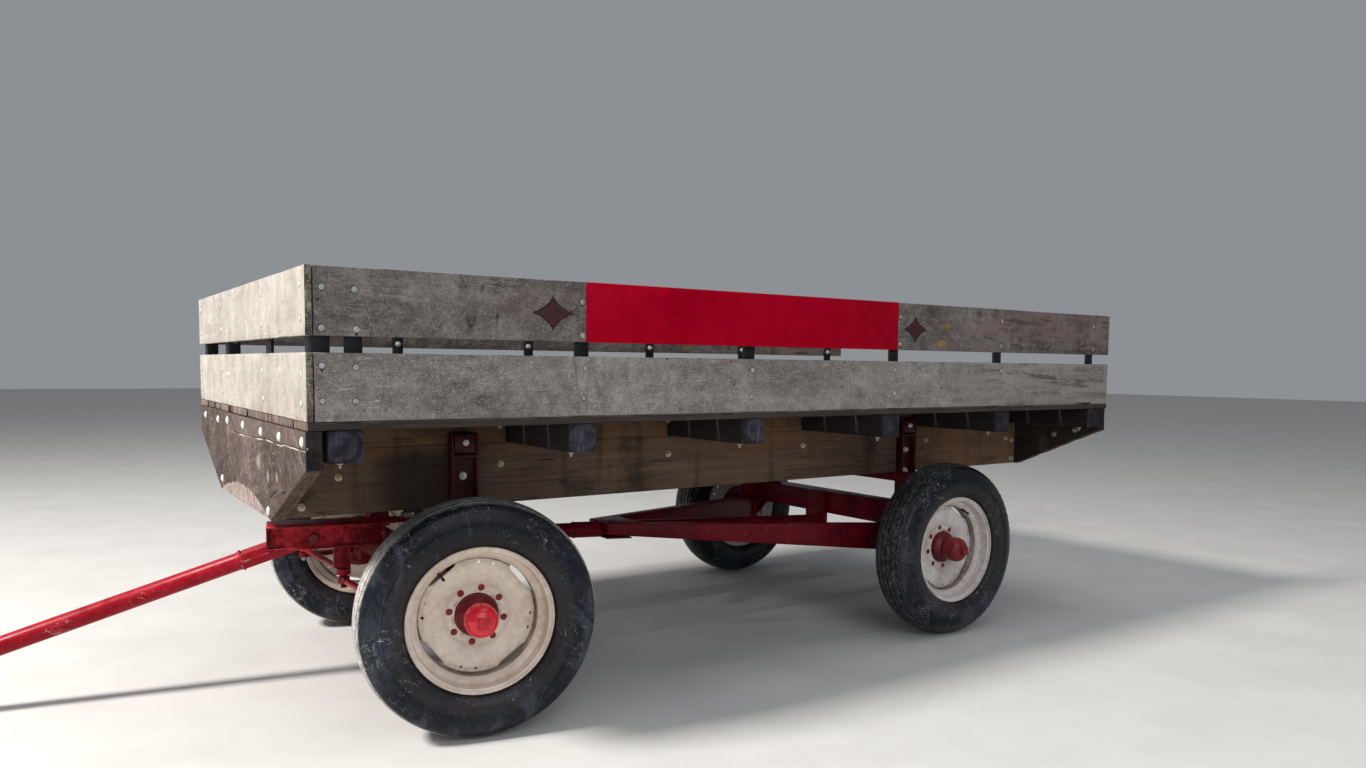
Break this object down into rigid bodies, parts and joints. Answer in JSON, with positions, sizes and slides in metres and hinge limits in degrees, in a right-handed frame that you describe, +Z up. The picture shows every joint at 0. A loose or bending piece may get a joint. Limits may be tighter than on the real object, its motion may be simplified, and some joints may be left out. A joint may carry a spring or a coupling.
{
  "type": "four-wheel hay wagon",
  "caption": "Flat farm wagon with two-tier boards on three sides, open rear, timber sills, steerable running gear with disc wheels, and a hinged tongue.",
  "frame": {"origin": "on the ground under the middle of the overall length and width, tongue included", "axes": "+X forwards to the tongue, +Y to the wagon's left, +Z up"},
  "size_m": [4.7234, 1.756, 1.35],
  "materials": {
    "deck_wood": "weathered, rough",
    "board_wood": "weathered grey, specked",
    "front_board_wood": "pale, weathered",
    "end_panel_wood": "dark, weathered",
    "sill_wood": "dark, weathered",
    "red_board": "glossy paint",
    "black_steel": "worn black paint",
    "gear_red": "worn gloss paint",
    "wheel_cream": "dusty paint",
    "hub_red": "worn gloss paint",
    "tyre_rubber": "dusty",
    "bare_steel": "worn"
  },
  "bodies": {
    "root": {"deck_planks": "deck_wood", "cross_sills": "sill_wood", "main_sills": "sill_wood", "sill_blocks": "sill_wood", "end_panels": "end_panel_wood", "side_lower_boards": "board_wood", "side_upper_boards": "board_wood", "side_red_panels": "red_board", "front_lower_board": "front_board_wood", "front_upper_board": "front_board_wood", "side_posts": "black_steel", "front_posts": "black_steel", "front_bolster": "gear_red", "rear_bolster": "gear_red", "stakes": "gear_red", "front_axle": "gear_red", "king_bolt": "bare_steel", "rear_axle": "gear_red", "reach": "gear_red", "hounds": "gear_red"},
    "steering_bracket": {"steering_bracket": "gear_red", "tongue_pin": "bare_steel"},
    "tongue": {"tongue_socket": "gear_red", "tongue_tube": "gear_red", "tongue_hitch": "gear_red"},
    "left_knuckle": {"left_knuckle": "gear_red", "left_kingpin": "bare_steel"},
    "right_knuckle": {"right_knuckle": "gear_red", "right_kingpin": "bare_steel"},
    "left_tie_rod": {"left_tie_rod": "gear_red"},
    "right_tie_rod": {"right_tie_rod": "gear_red"},
    "front_left_wheel": {"front_left_hub": "hub_red", "front_left_wheel": "wheel_cream", "front_left_tyre": "tyre_rubber"},
    "front_right_wheel": {"front_right_hub": "hub_red", "front_right_wheel": "wheel_cream", "front_right_tyre": "tyre_rubber"},
    "rear_left_wheel": {"rear_left_hub": "hub_red", "rear_left_wheel": "wheel_cream", "rear_left_tyre": "tyre_rubber"},
    "rear_right_wheel": {"rear_right_hub": "hub_red", "rear_right_wheel": "wheel_cream", "rear_right_tyre": "tyre_rubber"}
  },
  "joints": [
    {"name": "steering_swing", "type": "hinge", "parent": "root", "child": "steering_bracket", "pos_m": [0.58727, 0, 0.514], "axis": [0, 0, 1], "range_deg": [-20, 44]},
    {"name": "tongue_lift", "type": "hinge", "parent": "steering_bracket", "child": "tongue", "pos_m": [0.89832, -0.06612, 0.506], "axis": [-0.2079, -0.9781, 0], "range_deg": [0, 19]},
    {"name": "left_steer", "type": "hinge", "parent": "root", "child": "left_knuckle", "pos_m": [0.58727, 0.585, 0.366], "axis": [0, 0, 1], "range_deg": [-20, 44]},
    {"name": "left_rod_turn", "type": "hinge", "parent": "left_knuckle", "child": "left_tie_rod", "pos_m": [0.80246, 0.53926, 0.357], "axis": [0, 0, 1], "range_deg": [-44, 20]},
    {"name": "right_steer", "type": "hinge", "parent": "root", "child": "right_knuckle", "pos_m": [0.58727, -0.585, 0.366], "axis": [0, 0, 1], "range_deg": [-20, 44]},
    {"name": "right_rod_turn", "type": "hinge", "parent": "right_knuckle", "child": "right_tie_rod", "pos_m": [0.80246, -0.63074, 0.357], "axis": [0, 0, 1], "range_deg": [-44, 20]},
    {"name": "front_left_spin", "type": "hinge", "parent": "left_knuckle", "child": "front_left_wheel", "pos_m": [0.61679, 0.7239, 0.356], "axis": [0.2079, 0.9781, 0], "continuous": true},
    {"name": "front_right_spin", "type": "hinge", "parent": "right_knuckle", "child": "front_right_wheel", "pos_m": [0.55774, -0.7239, 0.356], "axis": [-0.2079, -0.9781, 0], "continuous": true},
    {"name": "rear_left_spin", "type": "hinge", "parent": "root", "child": "rear_left_wheel", "pos_m": [-1.45973, 0.727, 0.356], "axis": [0, 1, 0], "continuous": true},
    {"name": "rear_right_spin", "type": "hinge", "parent": "root", "child": "rear_right_wheel", "pos_m": [-1.45973, -0.727, 0.356], "axis": [0, -1, 0], "continuous": true}
  ],
  "couplings": [
    {"joint": "left_steer", "follows": "steering_swing", "ratio": 1},
    {"joint": "right_steer", "follows": "steering_swing", "ratio": 1},
    {"joint": "left_rod_turn", "follows": "steering_swing", "ratio": -1},
    {"joint": "right_rod_turn", "follows": "steering_swing", "ratio": -1}
  ]
}
